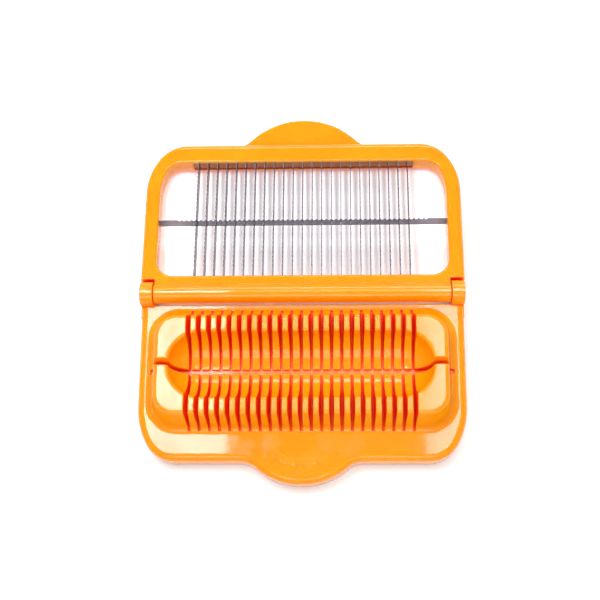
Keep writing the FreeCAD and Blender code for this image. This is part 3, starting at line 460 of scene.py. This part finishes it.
plastic = {
    # The tray gets painted brown shade at its foot.
    "base_tray": orange_plastic("orange_plastic_tray", 0.9, foot_shade=0.85),
    "lid_frame": orange_plastic("orange_plastic_lid", 0.5),
    "lid_cover": orange_plastic("orange_plastic_cover", 0.4),
}
print("plastic for:", sorted(plastic))

# %% [markdown]
# ## Steel
# Blades, combs and pins are all steel, and differ in grain, colour and gloss. A blade's grain
# runs along it, so the short blades and the long blade need different stretches. A metal shows
# only what it reflects, so its colour stays mid grey and the roughness does the work: streaks
# and faint stains change it from place to place.

# %% Material: steel
STAIN_SHADE, STAIN_SHARE, EDGE_SHARE = 0.8, 0.4, 0.35
SCRATCH_DULLING = 0.15
GRAIN_STRENGTH, GRAIN_DEPTH = 0.4, 0.00001


def steel(name, stretch, dark, light, gloss_range, edge_radius):
    """Rolled, stamped or turned steel with a grain."""
    material, tree, place = new_material(name)
    edges = use_group(tree, soft_edges, {"Radius": edge_radius})
    grain = use_group(tree, steel_grain, {"Place": place, "Stretch": stretch})
    scratches = use_group(
        tree, hairline_scratches, {"Place": place, "Scale": 2.0, "Amount": 0.6}
    )["Mask"]

    stained = tuple(STAIN_SHADE * channel for channel in dark[:3]) + (1.0,)
    stains = maths(tree, "MULTIPLY", grain["Stains"], STAIN_SHARE)
    bright_edges = maths(tree, "MULTIPLY", edges["Edge"], EDGE_SHARE)
    colour = blend_colour(tree, ramp(tree, grain["Streaks"], 0.35, 0.65), dark, light)
    colour = blend_colour(tree, stains, colour, stained)
    colour = blend_colour(tree, bright_edges, colour, light)

    gloss = ramp(tree, grain["Streaks"], 0.3, 0.7, *gloss_range)
    dulling = maths(tree, "MULTIPLY", scratches, SCRATCH_DULLING)
    fill(
        tree,
        tree.nodes[SHADER],
        {
            "Base Color": colour,
            "Roughness": maths(tree, "ADD", gloss, dulling, clamp=True),
            "Normal": bump(
                tree, grain["Streaks"], edges["Normal"], GRAIN_STRENGTH, GRAIN_DEPTH
            ),
            "Metallic": 1.0,
        },
    )
    material.diffuse_color = light
    return material


print("steel: stains take away", round(100 * (1 - STAIN_SHADE)), "percent of the shade")

# %% [markdown]
# ## Four steels
# The same function makes every steel piece. Blades are dark and fairly dull, the combs are
# stamped strip tinted brown-orange as a painted reflection of the shaded orange plastic and
# floor round them, and the pins are bright and turned, so their grain runs around them in
# rings.

# %% Steels in use
ALONG_X, ALONG_Y = (60.0, 6000.0, 6000.0), (6000.0, 60.0, 6000.0)
RINGS = (9000.0, 300.0, 300.0)
blade_look = ((0.09, 0.09, 0.11, 1.0), (0.27, 0.27, 0.31, 1.0), (0.25, 0.42), 0.00008)
# Painted reflection: the comb's brown-orange stands for the shaded orange plastic it mirrors.
comb_painted_reflection_look = ((0.30, 0.12, 0.05, 1.0), (0.44, 0.20, 0.10, 1.0), (0.3, 0.5), 0.00015)
pin_look = ((0.55, 0.55, 0.57, 1.0), (0.75, 0.75, 0.77, 1.0), (0.16, 0.3), 0.0002)
short_blade_steel = steel("blade_steel_short", ALONG_Y, *blade_look)
long_blade_steel = steel("blade_steel_long", ALONG_X, *blade_look)
comb_steel = steel("comb_steel_painted_reflection", ALONG_X, *comb_painted_reflection_look)
pin_steel = steel("pin_steel_turned", RINGS, *pin_look)
print("steels:", short_blade_steel.name, long_blade_steel.name, comb_steel.name, pin_steel.name)

# %% [markdown]
# ## Giving each part its finish
# The CAD parts keep their meshes and their places. Only the material in each slot changes, so
# everything above lands on exactly the geometry that was designed.


# %% Assign the finishes
def finish_for(name):
    """The material that a part is made of."""
    if name in plastic:
        return plastic[name]
    if name.startswith("cross_blade"):
        return short_blade_steel
    if name.startswith("long_blade"):
        return long_blade_steel
    return comb_steel if name.startswith("comb") else pin_steel


for name, part in parts.items():
    for holder in part.material_slots:
        holder.material = finish_for(name)
print("finished:", len(parts), "parts")

# %% [markdown]
# ## Floor
# The slicer lies on a pale sheet. It is one flat mesh, wide enough to fill the view, with a
# faint unevenness in its colour so that the shadows fall on paper and not on nothing. A faint
# glow of its own keeps it white, as a brightly lit studio sheet is.

# %% Floor
FLOOR_REACH = 1.6
PAPER_GREY, PAPER_WHITE = (0.94, 0.94, 0.94, 1.0), (0.98, 0.98, 0.98, 1.0)
PAPER_GLOW = 0.12
mesh = bpy.data.meshes.new("floor")
turns = ((-1, -1), (1, -1), (1, 1), (-1, 1))
corners = [(x * FLOOR_REACH, y * FLOOR_REACH, low.z) for x, y in turns]
mesh.from_pydata(corners, [], [(0, 1, 2, 3)])
floor = bpy.data.objects.new("floor", mesh)
bpy.context.scene.collection.objects.link(floor)
paper, tree, place = new_material("white_paper")
fill(
    tree,
    tree.nodes[SHADER],
    {
        "Base Color": blend_colour(tree, noise(tree, place, 6.0), PAPER_GREY, PAPER_WHITE),
        "Roughness": 0.9,
        "Emission Color": (1.0, 1.0, 1.0, 1.0),
        "Emission Strength": PAPER_GLOW,
    },
)
mesh.materials.append(paper)
print("floor at z =", round(low.z, 5))

# %% [markdown]
# ## Light
# Glossy plastic is lit by what it mirrors. Five panels hang face down over the slicer. The
# bright one on the left and the narrow one on the right are tinted a little toward rose, and
# show as cream patches in the flat flange and the corners of the block. A dim one between them
# gives the ribs a light sheen, and the two at the front and the rear soften the shadows. A face
# that mirrors none of them sees only the dim sky, and there the orange stays full.

# %% Light
PANEL_HEIGHT = 0.6
SKY_BRIGHTNESS = 0.36
WHITE, ROSE, DEEP_ROSE = (1.0, 1.0, 1.0), (1.0, 0.90, 0.97), (1.0, 0.87, 0.95)
PANELS = {
    "left_panel": ((-0.160, 0.11), (0.12, 0.25), 17.0, ROSE),
    "right_panel": ((0.152, 0.085), (0.085, 0.30), 10.0, DEEP_ROSE),
    "middle_panel": ((0.02, 0.15), (0.20, 0.24), 3.0, WHITE),
    "front_panel": ((0.0, -0.66), (0.6, 0.6), 2.5, WHITE),
    "rear_panel": ((0.0, 0.8), (0.5, 0.4), 6.0, WHITE),
}


def panel(name, centre, size, brightness, tint):
    """A soft box that faces straight down, as bright as asked wherever it is seen."""
    lamp = bpy.data.lights.new(name, "AREA")
    lamp.shape = "RECTANGLE"
    lamp.size, lamp.size_y = size
    lamp.energy, lamp.color = 4 * brightness * size[0] * size[1], tint
    box = bpy.data.objects.new(name, lamp)
    box.location = middle + Vector((*centre, PANEL_HEIGHT))
    bpy.context.scene.collection.objects.link(box)


for name, values in PANELS.items():
    panel(name, *values)
sky = bpy.data.worlds.new("dim_white_sky")
bpy.context.scene.world = sky
sky.use_nodes = True
background = sky.node_tree.nodes["Background"]
fill(sky.node_tree, background, {"Color": (1, 1, 1, 1), "Strength": SKY_BRIGHTNESS})
print("lamps:", len(bpy.data.lights))

# %% [markdown]
# ## Camera
# The camera looks down steeply from the front, a little from the right, and is rolled a few
# degrees. Its place is worked out from angles and a distance, because they say what the view
# is, and a matrix built from three axes leaves no doubt about the roll.

# %% Camera
AZIMUTH, ELEVATION, ROLL = radians(8.17), radians(74.329), radians(-8.199)
DISTANCE, LENS, SENSOR_WIDTH = 0.538384, 64.0136, 36.0
AIM = Vector((-0.000933, -0.00581, 0.015))
level = cos(ELEVATION)
back = Vector((sin(AZIMUTH) * level, -cos(AZIMUTH) * level, sin(ELEVATION)))
level_right = Vector((0, 0, 1)).cross(back).normalized()
level_up = back.cross(level_right)
right = cos(ROLL) * level_right + sin(ROLL) * level_up
up = cos(ROLL) * level_up - sin(ROLL) * level_right
eye = bpy.data.cameras.new("camera")
eye.lens, eye.sensor_width = LENS, SENSOR_WIDTH
camera = bpy.data.objects.new("camera", eye)
axes = Matrix((right, up, back)).transposed()
camera.matrix_world = Matrix.Translation(AIM + back * DISTANCE) @ axes.to_4x4()
bpy.context.scene.collection.objects.link(camera)
bpy.context.scene.camera = camera
bpy.context.scene.view_settings.view_transform = "Standard"
print("camera height in mm:", round(1000 * camera.location.z))
